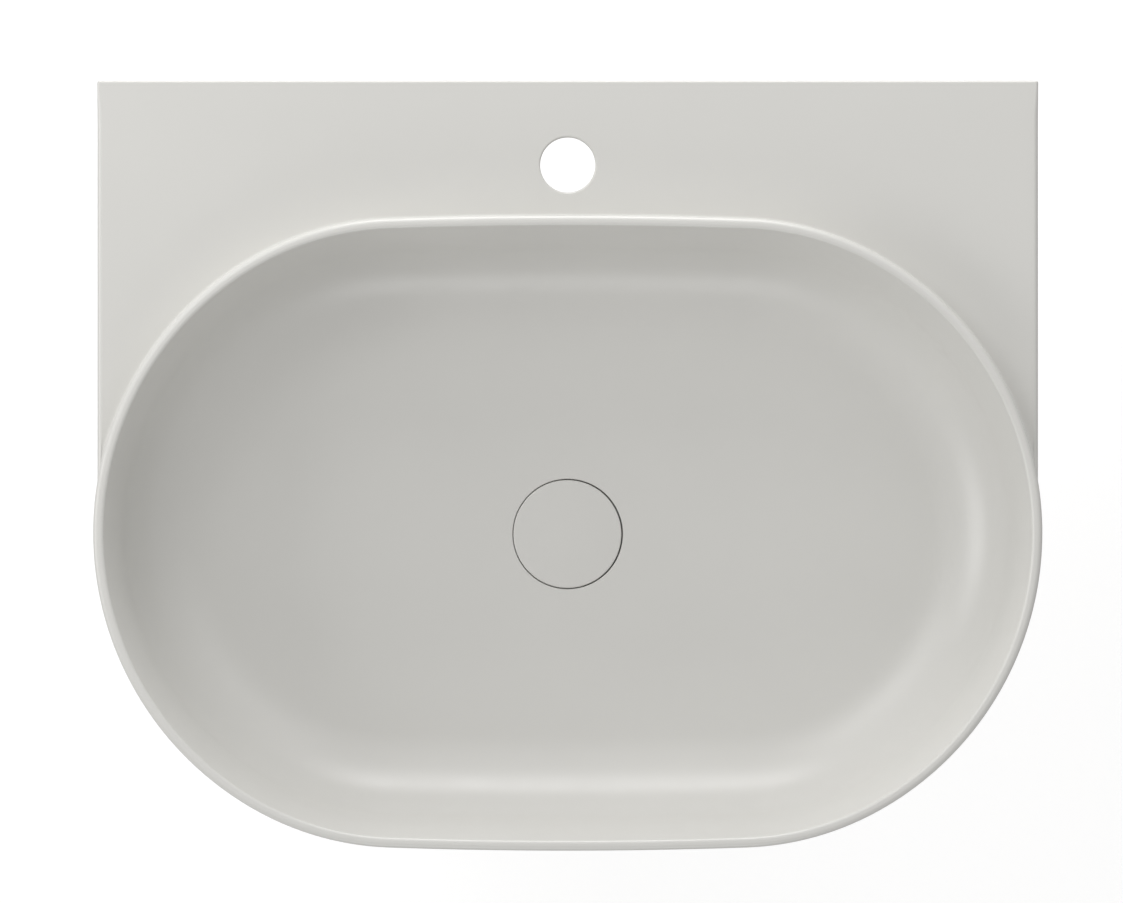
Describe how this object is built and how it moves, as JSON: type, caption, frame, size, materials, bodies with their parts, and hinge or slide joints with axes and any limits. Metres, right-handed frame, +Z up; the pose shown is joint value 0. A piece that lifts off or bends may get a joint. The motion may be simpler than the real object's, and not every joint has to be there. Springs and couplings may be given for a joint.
{
  "type": "washbasin",
  "caption": "Wall-hung ceramic washbasin with a tap ledge, an oval bowl with a thin raised rim, an open tap hole and a press-to-open waste with a matching ceramic cap.",
  "frame": {"origin": "in the wall plane, midway between the two wall holes", "axes": "+X to the right seen from the front, +Y into the wall, +Z up"},
  "size_m": [0.6, 0.4872, 0.179],
  "materials": {
    "basin_glaze": "satin warm light grey glaze",
    "cap_glaze": "satin warm light grey glaze",
    "sleeve_plastic": "natural white plastic",
    "turned_brass": "turned brass",
    "black_rubber": "black rubber",
    "chromed_brass": "polished chrome",
    "cast_brass": "cast brass",
    "steel_rod": "ground stainless steel",
    "white_acetal": "white acetal",
    "washer_plastic": "white plastic"
  },
  "bodies": {
    "fixed_parts": {"basin": "basin_glaze", "fixing_sleeves": "sleeve_plastic", "waste_body": "chromed_brass", "spider": "cast_brass", "cartridge_housing": "turned_brass", "rod_seal": "black_rubber", "click_spring": "steel_rod", "cartridge_plug": "turned_brass", "flange_gasket": "black_rubber", "cone_gasket": "black_rubber", "friction_washer": "washer_plastic", "lock_nut": "cast_brass"},
    "lifting_cap": {"waste_cap": "cap_glaze", "cap_carrier": "turned_brass", "cap_seal": "black_rubber", "plunger": "steel_rod", "click_rotor": "white_acetal"}
  },
  "joints": [
    {"name": "cap_lift", "type": "slide", "parent": "fixed_parts", "child": "lifting_cap", "axis": [0, 0, 1], "range_m": [0, 0.009], "deforming": ["click_spring"]}
  ]
}
